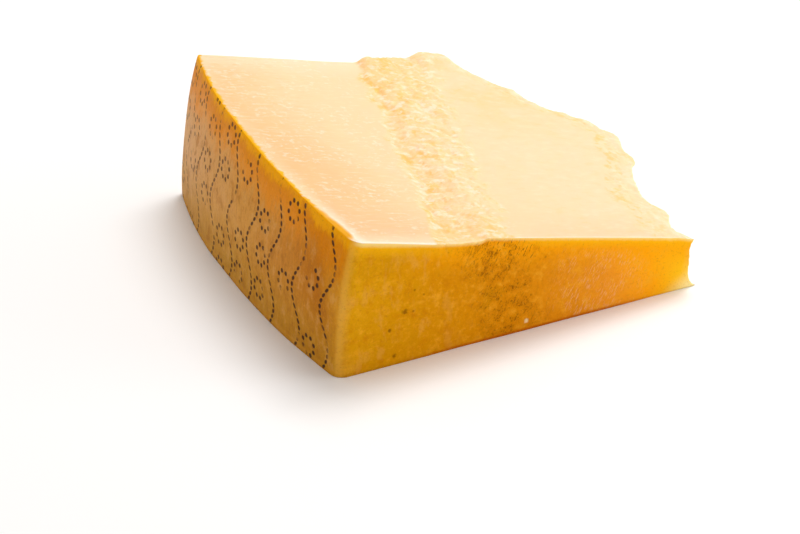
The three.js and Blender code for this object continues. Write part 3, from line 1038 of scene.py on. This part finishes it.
def pressed_marks(paint):
    """A plain pressed design for the side: dotted wavy lines with rings of dots between; 1 in each dot."""
    y, z = paint["y"], paint["z"]
    sway = (z * (2 * math.pi / MARK_WAVE)).calc("SINE") * MARK_SWAY
    off_line = (((y + sway) / MARK_PITCH).calc("FRACT") - 0.5) * (MARK_PITCH / MARK_HALF_WIDTH)
    off_dot = ((z / MARK_STEP).calc("FRACT") - 0.5) * (MARK_STEP / MARK_HALF_LENGTH)
    dotted = (off_line * off_line + off_dot * off_dot).ramp(*MARK_EDGE)
    column = y / MARK_PITCH + 0.5
    row = z / RING_STEP + paint.dice(column.calc("FLOOR"))
    draw = paint.dice(column.calc("FLOOR") * RING_DRAW + row.calc("FLOOR"))
    ring_y = (column.calc("FRACT") - 0.5) * MARK_PITCH
    ring_z = (row.calc("FRACT") - 0.5) * RING_STEP
    radius = (ring_y * ring_y + ring_z * ring_z).calc("SQRT")
    turn = ring_y.calc("ARCTAN2", ring_z) * (RING_DOTS / (2 * math.pi))
    off_petal = (turn.calc("FRACT") - 0.5) * radius * (2 * math.pi / RING_DOTS)
    off_ring = radius - RING_RADIUS
    ring = ((off_ring * off_ring + off_petal * off_petal) / RING_DOT**2).ramp(*MARK_EDGE)
    return dotted.calc("MAXIMUM", ring * draw.calc("LESS_THAN", RING_SHARE))


def lay_spots(paint, shade):
    """The shade with the single spots of the flat rind over it."""
    for spot_x, spot_z, radius, steps in FLAT_SPOTS:
        off_x = paint["x"] - spot_x
        off_z = paint["z"] - spot_z
        gap = (off_x * off_x + off_z * off_z).calc("SQRT") + paint.sway("speck", 2 * radius)
        shade = paint.mix(gap.ramp(radius, SPOT_CORE * radius) * SPOT_COVER, shade, colour(steps))
    return shade


def flat_rind_colour(paint):
    """Mustard at the side, orange towards the heart, with a speckled stain between."""
    x, z = paint["x"], paint["z"]
    shifted = x + paint.sway("cloud", FLAT_SWAY)
    paint["stain_x"] = shifted + z * STAIN_LEAN
    paint["lip_x"] = x - z * LIP_LEAN
    paint["strays"] = paint.strays(**STRAYS)
    return lay_spots(paint, paint.lay(paint.gradient(shifted, FLAT_SHADES), FLAT_LAYERS))


def side_rind_colour(paint):
    """Tan, paler towards the back and olive below, with painted glow under the upper cut and painted bounce
    light at the foot.
    """
    y, below_edge = paint["y"], paint["below_edge"]
    uneven = sum(paint.sway(name, reach) for name, reach in STRIP_UNEVEN.items())
    paint["below_glow"] = below_edge + uneven
    paint["below_strip"] = below_edge + uneven - y.ramp(*STRIP_FRONT) * STRIP_WIDER
    paint["below_rim"] = below_edge + uneven * RIM_EVEN
    return paint.lay(paint.gradient(y + paint.sway("side_cloud", SIDE_SWAY), SIDE_SHADES), SIDE_LAYERS)


def rind_material():
    """The rind: tan with pressed dots on the side; mustard to orange, stained and scratched, on the flat."""
    paint = Painter("rind", RIND_NOISES)
    wider = paint["x"].ramp(*CREST_FRONT) * CREST_WIDER
    paint["below_crest"] = paint["below_edge"] - wider + paint.sway("crest", CREST_UNEVEN)
    paint["scratches"] = paint.amount(1, SCRATCH_LIMITS)
    paint["marks"] = paint.amount(pressed_marks(paint), MARK_LIMITS)
    paint["side_weave"] = paint["side"] * paint["weave"]
    shade = paint.mix(paint["side"].ramp(*SIDE_BLEND), flat_rind_colour(paint), side_rind_colour(paint))
    return paint.finish(
        Base_Color=paint.lay(shade, RIND_LAYERS),
        Roughness=0.45,
        Specular_IOR_Level=0.02,
        Subsurface_Weight=0.15,
        Subsurface_Radius=(1.0, 0.5, 0.15),
        Subsurface_Scale=2.5 * MM,
        Normal=paint.bump(RIND_BUMP),
    )


def floor_material():
    material = bpy.data.materials.new("studio_white")
    material.use_nodes = True
    looks = {"Base Color": FLOOR_COLOUR, "Roughness": 0.7, "Specular IOR Level": 0.1}
    for name, value in looks.items():
        material.node_tree.nodes["Principled BSDF"].inputs[name].default_value = value
    return material


def add_floor():
    half = FLOOR_SIZE / 2 * MM
    drop = -FLOOR_DROP * MM
    corners = [(-half, -half, drop), (half, -half, drop), (half, half, drop), (-half, half, drop)]
    mesh = bpy.data.meshes.new("floor")
    mesh.from_pydata(corners, [], [(0, 1, 2, 3)])
    mesh.materials.append(floor_material())
    floor = bpy.data.objects.new("floor", mesh)
    bpy.context.collection.objects.link(floor)


def add_sky():
    world = bpy.data.worlds.new("studio")
    world.use_nodes = True
    world.node_tree.nodes["Background"].inputs["Color"].default_value = SKY_COLOUR
    world.node_tree.nodes["Background"].inputs["Strength"].default_value = SKY_STRENGTH
    bpy.context.scene.world = world


def add_light(name, lamp):
    """A square studio lamp that faces the chunk."""
    data = bpy.data.lights.new(name, "AREA")
    data.energy = lamp["watts"]
    data.size = lamp["size"] * MM
    light = bpy.data.objects.new(name, data)
    direction = Vector(lamp["direction"]).normalized()
    light.location = direction * lamp["distance"] * MM
    light.rotation_euler = direction.to_track_quat("Z", "Y").to_euler()
    bpy.context.collection.objects.link(light)


def add_camera(shift):
    data = bpy.data.cameras.new("camera")
    data.lens = CAMERA_LENS
    data.sensor_width = SENSOR_WIDTH
    data.clip_end = CAMERA_REACH * MM
    forward = Vector((
        math.sin(CAMERA_YAW) * math.cos(CAMERA_PITCH),
        math.cos(CAMERA_YAW) * math.cos(CAMERA_PITCH),
        -math.sin(CAMERA_PITCH),
    ))
    right = Vector((math.cos(CAMERA_YAW), -math.sin(CAMERA_YAW), 0))
    turn = Matrix((right, right.cross(forward), -forward)).transposed()
    camera = bpy.data.objects.new("camera", data)
    camera.matrix_world = Matrix.Translation((Vector(CAMERA_PLACE) + Vector(shift)) * MM) @ turn.to_4x4()
    bpy.context.collection.objects.link(camera)
    bpy.context.scene.camera = camera


shell = Shell()
shift = np.array(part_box("cheese")[0]) / MM - shell.points.min(axis=0)
chunk = bpy.data.objects.new("cheese_chunk", build_chunk(shell, shift))
chunk.data.materials.append(paste_material())
chunk.data.materials.append(rind_material())
bpy.context.collection.objects.link(chunk)
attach(chunk, "root")
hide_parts("cheese")

add_floor()
add_sky()
add_light("key", KEY_LIGHT)
add_light("fill", FILL_LIGHT)
add_camera(shift)
bpy.context.scene.view_settings.view_transform = "Standard"
